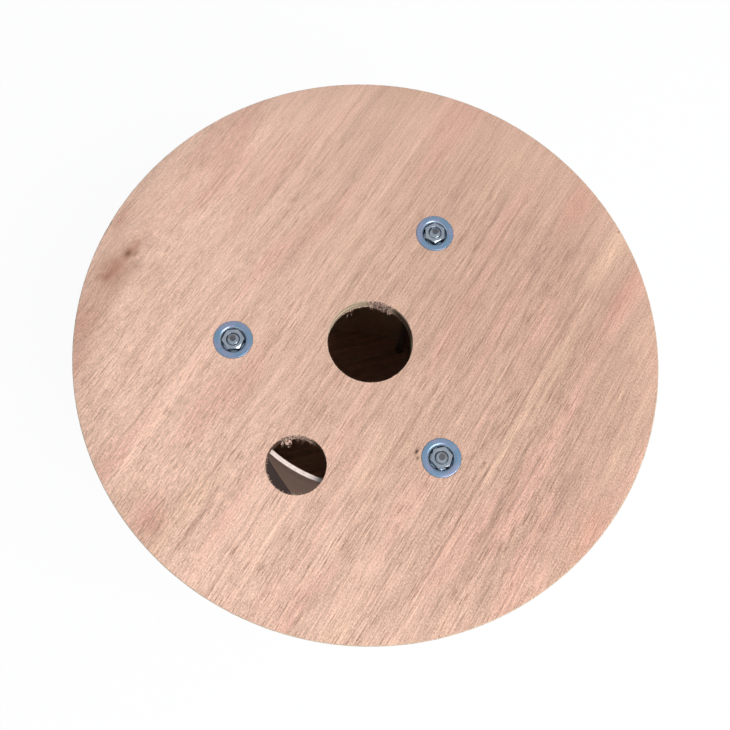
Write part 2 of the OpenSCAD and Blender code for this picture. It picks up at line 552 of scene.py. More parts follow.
def make_barrel(material):
    """Rolled tube with a raised strip, painted dark as shade, that runs a little askew."""
    low, high = BARREL_LOW.z, BARREL_HIGH.z
    inner = BARREL_R - BARREL_WALL
    off_edge = np.arange(BARREL_COLS) * 360 / BARREL_COLS
    on_shade_strip = off_edge > 360 - SHADE_STRIP_WIDTH
    outer = BARREL_R - OUTSIDE_SLACK - SHADE_STRIP_T * ~on_shade_strip

    def row(radius, z):
        angles = np.radians(off_edge + SHADE_STRIP_EDGE + SHADE_STRIP_TURN * (TOP_Z - z))
        return np.stack([radius * np.cos(angles), radius * np.sin(angles), np.full(BARREL_COLS, z)], 1)

    levels = low + (high - low) * np.arange(BARREL_ROWS) / (BARREL_ROWS - 1)
    rows = [row(outer, z) for z in levels]
    rows += [row(inner + BARREL_WALL * share, high) for share in CUT_EDGE_SHARES]
    rows += [row(inner + INSIDE_SLACK, z) for z in reversed(levels)]
    obj = new_object("paperboard_barrel", lathe_mesh("paperboard_barrel", rows, closed=True))
    obj.data.materials.append(material)
    smooth(obj.data)
    place_piece(obj, "paperboard", "barrel")


# Bolts

SHANK_R = BOLT_R - 0.05
SHANK_IN_HEAD = 0.5
THREAD_PITCH = 1.0
THREAD_DEPTH = 0.55
THREAD_LENGTH = 40.0
THREAD_RUNOUT = 2.0
# Shares of a turn that half the root and one flank take up
THREAD_HALF_ROOT = 0.06
THREAD_FLANK = 0.36
THREAD_COLS = 40
THREAD_STEPS = 8
BOLT_END_R = 1.6
BOLT_END_SLOPE = 1.1
HEX_CONE = math.radians(30)
HEX_FACE_SHARE = 0.95
CONE_PAST = 1.0


def thread_radius(turn):
    """Radius of the thread at a share of a turn: sloped flanks, narrow flat crest and root."""
    t = turn % 1.0
    rise = np.clip((np.abs(t - 0.5) - THREAD_HALF_ROOT) / THREAD_FLANK, 0, 1)
    return BOLT_R - THREAD_DEPTH * (1 - rise)


def bolt_rows(centre):
    """Rows of a bolt's shank and thread from under the head to the end."""
    thread_start = BOLT_TOP_Z - THREAD_LENGTH
    shank_start = HEAD_INSET + HEAD_H - SHANK_IN_HEAD
    rows = [ring(SHANK_R, z, THREAD_COLS, centre) for z in (shank_start, thread_start)]
    count = int(THREAD_LENGTH / THREAD_PITCH * THREAD_STEPS)
    turns = np.arange(THREAD_COLS) / THREAD_COLS
    for k in range(1, count + 1):
        z = thread_start + THREAD_LENGTH * k / (count + 1)
        fade = min(1.0, (z - thread_start) / THREAD_RUNOUT)
        radius = SHANK_R - (SHANK_R - thread_radius(z / THREAD_PITCH - turns)) * fade
        radius = np.minimum(radius, BOLT_END_R + (BOLT_TOP_Z - z) * BOLT_END_SLOPE)
        rows.append(ring(radius, z, THREAD_COLS, centre))
    rows.append(ring(BOLT_END_R, BOLT_TOP_Z, THREAD_COLS, centre))
    return rows


def make_hexagon(name, centre, turn, low, high):
    """Hexagon whose corners are turned off by a cone on its lower face."""
    corner = HEX_AF / 2 / math.cos(math.pi / 6)
    angles = [turn + TAU / 6 * k for k in range(6)]
    flat = [(centre[0] + corner * math.cos(a), centre[1] + corner * math.sin(a)) for a in angles]
    rows = [np.array([(x, y, z) for x, y in flat]) for z in (low, high)]
    obj = new_object(name, lathe_mesh(name, rows, closed=False))

    face_r = HEX_FACE_SHARE * HEX_AF / 2
    wide_r = corner + CONE_PAST
    past_r = wide_r + 2 * CONE_PAST
    wide_z = low + (wide_r - face_r) * math.tan(HEX_CONE)
    past_z = low - CONE_PAST
    outline = [(face_r, low), (wide_r, wide_z), (past_r, wide_z), (past_r, past_z), (face_r, past_z)]
    rows = [ring(r, z, SEAT_COLS, centre) for r, z in outline]
    cut(obj, lathe_mesh("corner_cutter", rows, closed=True))
    return obj


def make_bolt(i, material, end_material):
    centre = bolt_place(i)
    obj = make_hexagon(f"threaded_bolt_{i}", centre, HEX_TURN[i], HEAD_INSET, HEAD_INSET + HEAD_H)
    bm = bmesh.new()
    bm.from_mesh(obj.data)
    bm.from_mesh(lathe_mesh("shank", bolt_rows(centre), closed=False))
    for f in bm.faces:
        f.material_index = int(f.calc_center_median().z > (BOLT_TOP_Z - FACE_LIMIT) * MM)
    bm.to_mesh(obj.data)
    bm.free()
    obj.data.materials.append(material)
    obj.data.materials.append(end_material)
    smooth(obj.data)
    place_piece(obj, "zinc_plated_steel", f"tie_bolt_{i}")


# Washers

WASHER_COLS = 144
WASHER_SEED = 40
TOP_SEED_STEP = 10
DENT_DEPTH = 0.03
# The dish lies closer to the nut than its seat does, and from a radius outwards the plating is blue, partly
# its own tint and partly a painted reflection of the sky
PRESSED_FLOOR_R = 5.8
PRESSED_MOUTH_R = 6.37
SKY_BLUE_FROM_R = 6.8
MOUTH_BEND = 1.5
FLOOR_BEND = 0.6
UNDER_BEND = 0.25
BELLY_BEND = 0.95


def arc(centre, radius, start, end, steps):
    """Points on an arc, angles in degrees."""
    angles = np.radians(np.linspace(start, end, steps))
    return [(centre[0] + radius * math.cos(a), centre[1] + radius * math.sin(a)) for a in angles]


def washer_profile():
    """Outline of the pressed washer with bent corners, brim face at depth 0, as (radius, depth)."""
    depth = WASHER_H - SHEET_T
    half = SHEET_T / 2
    lean = math.degrees(math.atan((PRESSED_MOUTH_R - PRESSED_FLOOR_R) / depth))
    reach = math.tan(math.radians((90 - lean) / 2))
    floor = (PRESSED_FLOOR_R - FLOOR_BEND * reach, depth - FLOOR_BEND)
    mouth = (PRESSED_MOUTH_R + MOUTH_BEND * reach, MOUTH_BEND)
    under = (PRESSED_MOUTH_R + SHEET_T + UNDER_BEND * reach, SHEET_T + UNDER_BEND)
    belly = (PRESSED_FLOOR_R + SHEET_T - BELLY_BEND * reach, WASHER_H - BELLY_BEND)
    return [
        (BOLT_HOLE_R, depth),
        *arc(floor, FLOOR_BEND, 90, lean, 7),
        *arc(mouth, MOUTH_BEND, 180 + lean, 270, 13),
        *arc((WASHER_R - half, half), half, -90, 90, 9),
        *arc(under, UNDER_BEND, 270, 180 + lean, 5),
        *arc(belly, BELLY_BEND, lean, 90, 7),
        (BOLT_HOLE_R, WASHER_H),
    ]


def make_washer(name, i, brim_z, down, brim_material, dish_material):
    """Dished washer whose dish reaches down or up from its brim."""
    rng = np.random.default_rng(WASHER_SEED + i + (TOP_SEED_STEP if down else 0))
    dents = np.abs(DENT_DEPTH * ring_noise(WASHER_COLS, rng, bumps=5))
    sign = -1 if down else 1
    profile = washer_profile()
    rows = []
    for r, depth in profile:
        share = np.clip((r - DISH_FLOOR_R) / (WASHER_R - DISH_FLOOR_R), 0, 1)
        rows.append(ring(r, brim_z + sign * (depth + share * dents), WASHER_COLS, bolt_place(i)))
    piece = f"dished_{name}_{i}"
    obj = new_object(piece, lathe_mesh(piece, rows, closed=True))
    obj.data.materials.append(brim_material)
    obj.data.materials.append(dish_material)
    for row, (r, _) in enumerate(profile):
        in_dish = int(r < SKY_BLUE_FROM_R)
        for f in obj.data.polygons[row * WASHER_COLS:(row + 1) * WASHER_COLS]:
            f.material_index = in_dish
    smooth(obj.data)
    place_piece(obj, "zinc_plated_steel", f"{name}_{i}")


# Node trees

class Nodes:
    """Shorthand for a node tree."""

    def __init__(self, tree):
        self.tree = tree

    def link(self, value, socket):
        if isinstance(value, bpy.types.NodeSocket):
            self.tree.links.new(value, socket)
        else:
            socket.default_value = value

    def node(self, kind, **settings):
        made = self.tree.nodes.new(kind)
        for key, value in settings.items():
            setattr(made, key, value)
        return made

    def math(self, operation, a, b=0.0, c=0.0):
        made = self.node("ShaderNodeMath", operation=operation)
        for socket, value in zip(made.inputs, (a, b, c)):
            self.link(value, socket)
        return made.outputs[0]

    def add(self, *values):
        total = values[0]
        for value in values[1:]:
            total = self.math("ADD", total, value)
        return total

    def times(self, *values):
        total = values[0]
        for value in values[1:]:
            total = self.math("MULTIPLY", total, value)
        return total

    def length(self, x, y):
        return self.math("SQRT", self.add(self.times(x, x), self.times(y, y)))

    def span(self, value, low, high, to_low=0.0, to_high=1.0, kind="SMOOTHSTEP"):
        """Maps low..high to to_low..to_high, held at the ends."""
        made = self.node("ShaderNodeMapRange", interpolation_type=kind)
        for socket, v in zip(made.inputs, (value, low, high, to_low, to_high)):
            self.link(v, socket)
        return made.outputs[0]

    def mix(self, share, a, b, kind="MIX"):
        made = self.node("ShaderNodeMix", data_type="RGBA", blend_type=kind)
        self.link(share, made.inputs[0])
        self.link(a if isinstance(a, bpy.types.NodeSocket) else (*a, 1.0), made.inputs[6])
        self.link(b if isinstance(b, bpy.types.NodeSocket) else (*b, 1.0), made.inputs[7])
        return made.outputs[2]

    def shade(self, colour, level):
        """Colour made lighter or darker by a level around 1."""
        return self.mix(1.0, colour, self.vector(level, level, level), "MULTIPLY")

    def vector(self, x, y, z=0.0):
        made = self.node("ShaderNodeCombineXYZ")
        for socket, value in zip(made.inputs, (x, y, z)):
            self.link(value, socket)
        return made.outputs[0]

    def parts(self, vector):
        made = self.node("ShaderNodeSeparateXYZ")
        self.link(vector, made.inputs[0])
        return made.outputs

    def noise(self, places, sizes, seed=None, detail=2.0, rough=0.5):
        """Noise from 0 to 1 whose waves are about sizes long. A seed stands for a third coordinate."""
        scaled = [self.times(place, 1 / size) for place, size in zip(places, sizes)]
        if seed is not None:
            scaled.append(seed)
        made = self.node("ShaderNodeTexNoise")
        self.link(self.vector(*scaled), made.inputs["Vector"])
        made.inputs["Scale"].default_value = 1.0
        made.inputs["Detail"].default_value = detail
        made.inputs["Roughness"].default_value = rough
        return made.outputs[0]

    def swing(self, noise, *shares):
        """How far a noise is from its middle, times the shares."""
        return self.times(self.add(noise, -0.5), *shares)

    def seen(self):
        """1 for rays from the camera, mirrored rays and rays through glass."""
        path = self.node("ShaderNodeLightPath").outputs
        rays = self.add(path["Is Camera Ray"], path["Is Glossy Ray"], path["Is Transmission Ray"])
        return self.math("MINIMUM", rays, 1.0)

    def blend(self, share, a, b):
        """Mix of two shaders."""
        made = self.node("ShaderNodeMixShader")
        for socket, value in zip(made.inputs, (share, a, b)):
            self.link(value, socket)
        return made.outputs[0]


class Material(Nodes):
    """Node tree of a new material around its main shader."""

    def __init__(self, name):
        self.material = bpy.data.materials.new(name)
        self.material.use_nodes = True
        super().__init__(self.material.node_tree)
        self.shader = self.tree.nodes["Principled BSDF"]

    def places(self):
        """Object coordinates in millimetres, as three values."""
        coordinates = self.node("ShaderNodeTexCoord").outputs["Object"]
        scaled = self.node("ShaderNodeVectorMath", operation="SCALE")
        self.link(coordinates, scaled.inputs[0])
        scaled.inputs["Scale"].default_value = 1 / MM
        return self.parts(scaled.outputs[0])

    def bump(self, height, distance, strength):
        made = self.node("ShaderNodeBump")
        made.inputs["Strength"].default_value = strength
        made.inputs["Distance"].default_value = distance * MM
        self.link(height, made.inputs["Height"])
        self.link(made.outputs[0], self.shader.inputs["Normal"])

    def set(self, **values):
        for key, value in values.items():
            self.link(value, self.shader.inputs[key.replace("_", " ")])

    def matte(self, colour, noise, low, high):
        """Dull surface whose roughness runs from low to high with a noise."""
        self.set(Base_Color=colour, Roughness=self.span(noise, 0.3, 0.7, low, high), Specular_IOR_Level=0.2)


def turned(n, x, y, angle):
    """Coordinates along and across a direction in the plane."""
    c, s = math.cos(angle), math.sin(angle)
    along = n.add(n.times(x, c), n.times(y, s))
    across = n.add(n.times(x, -s), n.times(y, c))
    return along, across


def place_in_grain(place, angle):
    """A place on the face, as its coordinates along and across the grain."""
    c, s = math.cos(angle), math.sin(angle)
    return place[0] * c + place[1] * s, -place[0] * s + place[1] * c


def blob(n, u, v, place, angle, size):
    """1 at a place on the face, falling off over size = (along, across) the grain."""
    place_u, place_v = place_in_grain(place, angle)
    du = n.times(n.add(u, -place_u), 1 / size[0])
    dv = n.times(n.add(v, -place_v), 1 / size[1])
    far = n.add(n.times(du, du), n.times(dv, dv))
    return n.math("POWER", math.e, n.times(far, -1.0))


# Face veneer

VENEER_PALE = (0.85, 0.552, 0.411)
VENEER_TAN = (0.59, 0.366, 0.265)
VENEER_PINK = (0.735, 0.418, 0.316)
VENEER_YELLOW = (0.73, 0.475, 0.327)
FLECK = (0.9, 0.64, 0.5)
PORE = (0.33, 0.175, 0.115)
STREAK = (0.48, 0.285, 0.212)
FLUSH = (0.64, 0.335, 0.245)
KNOT = (0.18, 0.072, 0.036)
KNOT_RED = (0.44, 0.2, 0.118)
PIT_SHADE = (0.06, 0.022, 0.012)

# Waves of the grain: length along and across it, step of the seed, and detail
GRAIN_WAVES = dict(
    bands=(300, 9, 2, 2),
    streaks=(110, 3, 3, 2),
    pores=(10, 0.65, 4, 1),
    dashes=(17, 0.75, 5, 1),
    mottle=(18, 7, 6, 2),
    tint=(95, 19, 7, 2),
    dense=(70, 12, 8, 1),
    lines=(42, 1.2, 9, 2),
    specks=(4.2, 0.66, 11, 1),
    flecks=(5, 0.9, 12, 1),
    dust=(0.95, 0.65, 13, 0),
)
SWAY = 4.0
RIPPLE = 0.5
# Share by which the grain fans out per millimetre
FAN = 0.00018

# The grain closes up around the knot, bulges past it and is calmer near it
KNOT_PLACE = (-125.4, 46.3)
KNOT_CLOSE = -0.75
KNOT_BULGE = -5.0
CALM_PLACE = (-122, 42)
CALM_SIZE = (34, 20)

# Marks on the upper face: place, reach along and across the grain, strength and tint
KNOT_MARKS = (
    ((-128, 41.5), (18, 9), 0.45, STREAK),
    ((-133, 36.5), (10, 6), 0.72, KNOT_RED),
    ((-124, 48), (6, 2.6), 0.6, KNOT_RED),
)
KNOT_EYES = (
    (KNOT_PLACE, (2.2, 1.7), 0.8, KNOT),
    ((-121.4, 46.6), (2.2, 1), 0.5, KNOT),
    ((-135.2, 33.2), (3, 1.2), 0.35, KNOT),
)
TONE_MARKS = (
    # Broad darker patches of tone come first, then flushes and streaks
    ((-6, 12), (80, 60), 0.3, VENEER_TAN),
    ((-24, -40), (16, 15), 0.4, VENEER_TAN),
    ((46, 2), (24, 18), 0.26, STREAK),
    ((-144.5, 9), (15, 8), 0.75, FLUSH),
    ((-148, -14), (13, 4.5), 0.65, FLUSH),
    ((-132.7, 62.2), (8, 3), 0.7, FLUSH),
    ((-106.6, -88.7), (11, 8), 0.75, FLUSH),
    ((106, -98), (17, 6.5), 0.75, FLUSH),
    ((113, 78), (13, 7), 0.7, FLUSH),
    ((133, 25), (20, 4.5), 0.75, FLUSH),
    ((62, -88), (22, 2.4), 0.85, STREAK),
    ((92, -82.5), (24, 2.6), 0.85, STREAK),
    ((110, 52), (26, 2.2), 0.85, STREAK),
    ((91, 44.5), (22, 2.2), 0.8, STREAK),
    ((-83, -90), (15, 1.8), 0.75, STREAK),
)
# Pits on the upper face, with a yellowish patch by two of them; the dark inside of each pit is painted shade
PITS = (
    ((24.4, -60.5), (3, 2.4), 0.8, VENEER_YELLOW),
    ((22.6, -57.3), (1.5, 0.8), 1, PIT_SHADE),
    ((23, -60.6), (1.2, 0.7), 0.75, PIT_SHADE),
    ((134.5, 63.1), (0.6, 0.5), 0.9, KNOT),
)


def blend_marks(n, colour, u, v, angle, marks):
    for place, size, strength, tint in marks:
        colour = n.mix(n.times(blob(n, u, v, place, angle, size), strength), colour, tint)
    return colour


def grain_coordinates(n, x, y, angle, seed, marked):
    """Coordinates along and across the grain, and the one across that follows its sway."""
    u, v = turned(n, x, y, angle)
    sway = n.noise((x, y), (110, 110), seed + 0.5, 1.0)
    ripple = n.noise((u, v), (45, 18), seed + 1.5, 1.0)
    across = n.add(v, n.swing(sway, SWAY), n.swing(ripple, RIPPLE))
    if marked:
        close = blob(n, u, v, KNOT_PLACE, angle, (20, 9))
        bulge = blob(n, u, v, KNOT_PLACE, angle, (24, 14))
        off_knot = n.add(v, -place_in_grain(KNOT_PLACE, angle)[1])
        across = n.add(across, n.times(close, off_knot, KNOT_CLOSE), n.times(bulge, KNOT_BULGE))
    return u, v, n.times(across, n.math("MULTIPLY_ADD", u, FAN, 1.0))


def grain_waves(n, u, w, seed):
    """The noises of the grain, by name."""
    waves = SimpleNamespace()
    for name, (along, across, step, detail) in GRAIN_WAVES.items():
        setattr(waves, name, n.noise((u, w), (along, across), seed + step, detail))
    return waves


def grain_shares(n, x, y):
    """Shares over the face: the faint rim at one side, the strength of the grain, and both together."""
    rim_side = n.span(n.add(x, n.times(y, 0.5)), -20, 60)
    rim = n.times(n.span(n.length(x, y), 95, 145), rim_side)
    near = n.times(n.span(y, 130, -110, 0.47, 0.87, "LINEAR"), n.span(x, -20, 110, 1.0, 1.26))
    return rim, near, n.times(near, n.span(rim, 0.0, 1.0, 1.0, 0.62))


def veneer_base(n, x, y, rim, tint):
    """Ground colour: paler on one side and at the rim, with pink and yellow drifts."""
    side = n.span(n.add(n.times(x, 0.95), n.times(y, 0.1)), -110, 120)
    base = n.mix(side, VENEER_PALE, VENEER_TAN)
    base = n.mix(n.times(rim, n.span(y, -20, 80, 0.06, 0.28)), base, VENEER_PALE)
    base = n.mix(n.span(tint, 0.5, 0.7, 0.0, 0.68), base, VENEER_PINK)
    return n.mix(n.span(tint, 0.48, 0.28, 0.0, 0.55), base, VENEER_YELLOW)


def veneer_level(n, waves, near, front, firm, curl):
    """Lightness of the grain. Where it curls, lines and dashes give way to specks."""
    return n.add(
        1.0,
        n.swing(waves.bands, 0.45),
        n.swing(waves.mottle, front, 0.3),
        n.swing(waves.lines, front, firm, n.span(curl, 0.0, 1.0, 0.64, 0.32)),
        n.swing(waves.dashes, front, firm, n.span(curl, 0.0, 1.0, 0.84, 0.4)),
        n.swing(waves.specks, front, n.span(curl, 0.0, 1.0, 0.35, 0.95)),
        n.swing(waves.dust, near, 0.8),
    )


def knot_and_pits(n, colour, u, v, angle, wobble, specks):
    knot_u = n.add(u, n.swing(wobble, 14.0))
    knot_v = n.add(v, n.swing(wobble, -10.0), n.swing(specks, 4.0))
    colour = blend_marks(n, colour, knot_u, knot_v, angle, KNOT_MARKS)
    colour = blend_marks(n, colour, u, v, angle, KNOT_EYES)
    return blend_marks(n, colour, u, v, angle, PITS)


def veneer(name, angle, seed, marked):
    """Sliced face veneer: streaks, short pores and tint, drawn out along the grain."""
    n = Material(name)
    x, y, _ = n.places()
    u, v, w = grain_coordinates(n, x, y, angle, seed, marked)
    waves = grain_waves(n, u, w, seed)
    zone = n.noise((x, y), (55, 38), seed + 10)
    curl = n.span(n.add(zone, n.span(x, 10, -120, 0.0, 0.38)), 0.54, 0.76)
    rim, near, front = grain_shares(n, x, y)
    pore_mask = n.times(n.span(waves.pores, 0.55, 0.67), n.span(waves.dense, 0.3, 0.65, 0.35, 1.0), front)
    streak_mask = n.times(n.span(waves.streaks, 0.5, 0.72), n.span(waves.bands, 0.35, 0.65, 0.3, 1.0))
    fleck_mask = n.times(n.span(waves.flecks, 0.6, 0.78), front)
    streaked = n.times(streak_mask, n.span(x, -60, 90, 0.55, 0.95), n.span(rim, 0.0, 1.0, 1.0, 0.5))
    colour = n.mix(streaked, veneer_base(n, x, y, rim, waves.tint), STREAK)
    if marked:
        wander_u = n.add(u, n.swing(zone, 24.0))
        wander_v = n.add(v, n.swing(waves.mottle, 9.0))
        colour = blend_marks(n, colour, wander_u, wander_v, angle, TONE_MARKS)
    colour = n.mix(n.times(fleck_mask, 0.25), colour, FLECK)
    colour = n.mix(n.times(pore_mask, 0.72), colour, PORE)
    firm = 1.0
    if marked:
        wobble = n.noise((x, y), (7, 7), seed + 14, 3.0, 0.65)
        calm = blob(n, u, v, CALM_PLACE, angle, CALM_SIZE)
        firm = n.span(calm, 0.0, 1.0, 1.0, 0.35)
        colour = n.shade(colour, n.add(1.0, n.swing(wobble, calm, 0.55)))
    colour = n.shade(colour, veneer_level(n, waves, near, front, firm, curl))
    if marked:
        colour = knot_and_pits(n, colour, u, v, angle, wobble, waves.specks)
    n.matte(colour, waves.dashes, 0.62, 0.8)
    height = n.add(n.times(pore_mask, -1.0), n.times(streak_mask, -0.4), n.times(waves.dashes, 0.35))
    n.bump(height, 0.12, 0.5)
    return n.material


# Edge of the plywood

CORE_SIDE = (0.9, 0.74, 0.535)
CORE_END = (0.45, 0.325, 0.208)
FACE_EDGE = (0.52, 0.38, 0.27)
FACE_EDGE_PALE = (0.76, 0.59, 0.44)
TORN_WALL = (0.6, 0.415, 0.315)
GLUE = (0.13, 0.07, 0.04)
# Colour of the painted shade on the hole walls
HOLE_SHADE = (0.06, 0.028, 0.016)
PLY_BLUR = 0.02
# Painted shade on the hole walls: the cable hole is darkened except towards one side, the bore only towards
# another
HOLE_SHADE_FREE = math.radians(86)
HOLE_SHADE_FADE = (15.6, 13.4)
BORE_SHADE_SIDE = math.radians(30)
BORE_SHADE_FADE = (19.8, 22.2)
BORE_SHADE_DEPTH = (0.3, 3.5)
WALL_FADE = (3, 2)


def ply_tone(n, place, normal, angle, ply):
    """One core ply: pale along its grain, darker where its fibres end."""
    x, y, z = place
    u, v = turned(n, x, y, angle)
    toward, _ = turned(n, *normal, angle)
    end = n.math("POWER", n.math("ABSOLUTE", toward), 1.6)
    fibre = n.noise((u, v, z), (14, 0.8, 0.35))
    blotch = n.noise((u, v), (22, 7), 3.0 + ply, 1.0)
    level = n.add(1.0, n.swing(fibre, 0.7), n.swing(blotch, 0.5))
    return n.shade(n.mix(end, CORE_SIDE, CORE_END), level)


def past_line(n, depth, line, sign=1):
    """1 past a glue line and 0 before it, or the other way round with sign -1."""
    return n.span(depth, line - sign * PLY_BLUR, line + sign * PLY_BLUR)


def hole_wall(n, x, y, radius):
    """1 on the wall of a hole around the origin."""
    return n.span(n.length(x, y), *[radius + past for past in WALL_FADE])


def holes_with_painted_shade(n, colour, x, y, depth, fuzz):
    """Torn wall of the cable hole, and painted shade on the walls of the cable hole and the bore."""
    off_x, off_y = n.add(x, -CABLE_HOLE.x), n.add(y, -CABLE_HOLE.y)
    in_hole = hole_wall(n, off_x, off_y, CABLE_HOLE_R)
    free, _ = turned(n, off_x, off_y, HOLE_SHADE_FREE)
    shaded = n.span(n.add(free, n.times(fuzz, 3.0)), *HOLE_SHADE_FADE, 0.0, 0.92)
    colour = n.mix(n.times(in_hole, n.span(fuzz, 0.3, 0.6, 0.5, 0.9)), colour, TORN_WALL)
    # Painted shade on the cable hole's wall
    colour = n.mix(n.times(in_hole, shaded), colour, HOLE_SHADE)
    # Painted shade on the bore's wall, on one side and stronger deeper down
    in_bore = hole_wall(n, x, y, BORE_R)
    aside, _ = turned(n, x, y, BORE_SHADE_SIDE)
    shaded = n.span(n.add(aside, n.times(fuzz, 2.0)), *BORE_SHADE_FADE, 0.0, 0.9)
    shaded = n.times(shaded, n.span(depth, *BORE_SHADE_DEPTH, 0.5, 1.0))
    return n.mix(n.times(in_bore, shaded), colour, HOLE_SHADE)


def ply_edge(name, angle, outer_z, down):
    """Sawn edge of the plywood: plies of crossed grain between dark glue lines."""
    n = Material(name)
    place = n.places()
    x, y, z = place
    depth = n.add(outer_z, n.times(z, -1.0)) if down else n.add(z, -outer_z)
    normal = n.parts(n.node("ShaderNodeTexCoord").outputs["Normal"])[:2]
    crossed = angle + math.pi / 2
    colour = ply_tone(n, place, normal, crossed, 0)
    for ply, turn in ((1, angle), (2, crossed)):
        tone = ply_tone(n, place, normal, turn, ply)
        colour = n.mix(past_line(n, depth, GLUE_LINES[ply]), colour, tone)
    fuzz = n.noise(place, (0.7, 0.7, 1.2), detail=3.0)
    outer_ply = past_line(n, depth, GLUE_LINES[0], -1)
    inner_ply = past_line(n, depth, GLUE_LINES[-1])
    face_tone = n.mix(n.span(fuzz, 0.3, 0.7), FACE_EDGE, FACE_EDGE_PALE)
    colour = n.mix(n.math("MAXIMUM", outer_ply, inner_ply), colour, face_tone)
    uneven = n.span(fuzz, 0.25, 0.6, 0.35, 0.9)
    for line in GLUE_LINES:
        off = n.math("ABSOLUTE", n.add(depth, -line))
        colour = n.mix(n.times(n.span(off, 0.16, 0.05), uneven), colour, GLUE)
    if down:
        colour = holes_with_painted_shade(n, colour, x, y, depth, fuzz)
    n.matte(colour, fuzz, 0.75, 0.9)
    n.bump(fuzz, 0.25, 0.6)
    return n.material


FIBRE_PALE = (0.8, 0.56, 0.45)
# The nearly black fibres are painted shade among and under the torn fibres
FIBRE_SHADE = (0.08, 0.028, 0.02)


def torn_wood(name):
    """Torn fibres, some pale and some dark as painted shade."""
    n = Material(name)
    place = n.places()
    patch = n.noise(place, (0.8, 0.8, 2.5), detail=1.0)
    thread = n.noise(place, (0.3, 0.3, 1.5))
    colour = n.mix(n.span(patch, 0.42, 0.6), FIBRE_PALE, FIBRE_SHADE)
    colour = n.shade(colour, n.span(thread, 0.25, 0.75, 0.75, 1.2, "LINEAR"))
    n.matte(colour, thread, 0.75, 0.9)
    n.bump(thread, 0.1, 0.5)
    return n.material


# Paperboard

PAPER_EDGE = (0.95, 0.78, 0.71)
PAPER_LAYER = (0.77, 0.62, 0.55)
# The outside paper's tones are darkened with painted shade, as the wall looks under the flange
PAPER_OUT_SHADED = (0.24, 0.152, 0.106)
PAPER_CLOUD_SHADED = (0.205, 0.128, 0.092)
# The barrel's dark strip is painted shade
PAPER_SHADE_STRIP = (0.04, 0.02, 0.016)
PAPER_SPECK = (0.42, 0.31, 0.235)
PAPER_SCUFF = (0.4, 0.295, 0.22)
PAPER_IN = (0.78, 0.6, 0.45)
SHADE_STRIP_BLUR = 0.15


def paper_outside(n, place):
    """Clouded paper darkened with painted shade, with specks and scuffs, and a dark strip of painted shade.
    """
    x, y, z = place
    cloud = n.noise(place, (40, 40, 28), detail=3.0, rough=0.55)
    speck = n.noise(place, (1.1, 1.1, 0.8))
    angle = n.times(n.math("ARCTAN2", y, x), math.degrees(1))
    scuff = n.noise((angle, z), (26, 1.3), 5.0, 3.0, 0.65)
    worn = n.noise((angle, z), (40, 30), 9.0)
    colour = n.mix(n.span(cloud, 0.4, 0.65, 0.0, 0.8), PAPER_OUT_SHADED, PAPER_CLOUD_SHADED)
    colour = n.mix(n.span(speck, 0.6, 0.72, 0.0, 0.55), colour, PAPER_SPECK)
    scuffed = n.times(n.span(scuff, 0.58, 0.74, 0.0, 0.7), n.span(worn, 0.45, 0.65))
    colour = n.mix(scuffed, colour, PAPER_SCUFF)
    below_top = n.add(TOP_Z, n.times(z, -1.0))
    # Dark strip of painted shade, askew down the barrel
    off_edge = n.add(angle, -SHADE_STRIP_EDGE, n.times(below_top, -SHADE_STRIP_TURN))
    shade_strip_start = n.span(off_edge, -SHADE_STRIP_WIDTH - SHADE_STRIP_BLUR, -SHADE_STRIP_WIDTH + SHADE_STRIP_BLUR)
    shade_strip_end = n.span(off_edge, SHADE_STRIP_BLUR, -SHADE_STRIP_BLUR)
    return n.mix(n.times(shade_strip_end, shade_strip_start), colour, PAPER_SHADE_STRIP)


def paperboard(name):
    """Rolled board: pale cut edge with fine layers, brownish grey paper outside darkened with painted shade,
    kraft inside.
    """
    n = Material(name)
    place = n.places()
    x, y, _ = place
    radius = n.length(x, y)
    fibre = n.noise(place, (2.2, 2.2, 1.1), detail=3.0, rough=0.6)
    layers = n.noise((radius, x, y), (0.35, 30, 30), detail=1.0)
    inner = BARREL_R - BARREL_WALL
    outside = n.span(radius, BARREL_R - 0.4, BARREL_R - 0.2, kind="LINEAR")
    inside = n.span(radius, inner + 0.25, inner + 0.1, kind="LINEAR")
    edge = n.mix(n.span(layers, 0.35, 0.65, 0.0, 0.35), PAPER_EDGE, PAPER_LAYER)
    colour = n.mix(outside, edge, paper_outside(n, place))
    colour = n.mix(inside, colour, PAPER_IN)
    colour = n.shade(colour, n.span(fibre, 0.2, 0.8, 0.78, 1.18, "LINEAR"))
    n.matte(colour, fibre, 0.75, 0.92)
    n.bump(fibre, 0.1, 0.4)
    return n.material


# Zinc plating: two tints, metallic share and range of roughness
# The brim's deep blue is partly the plating's tint and partly a painted reflection of the sky; the dish is
# the same plating, silvery
BRIM_ZINC_SKY = ((0.155, 0.258, 0.375), (0.232, 0.272, 0.398)), 0.6, (0.2, 0.3)
DISH_ZINC = ((0.58, 0.66, 0.74), (0.49, 0.58, 0.69)), 0.75, (0.14, 0.25)
BOLT_ZINC = ((0.305, 0.343, 0.388), (0.248, 0.292, 0.352)), 0.9, (0.13, 0.23)
GRIME = (0.18, 0.2, 0.23)
CUT_STEEL = (0.088, 0.094, 0.112)
CUT_RUST = (0.077, 0.063, 0.064)


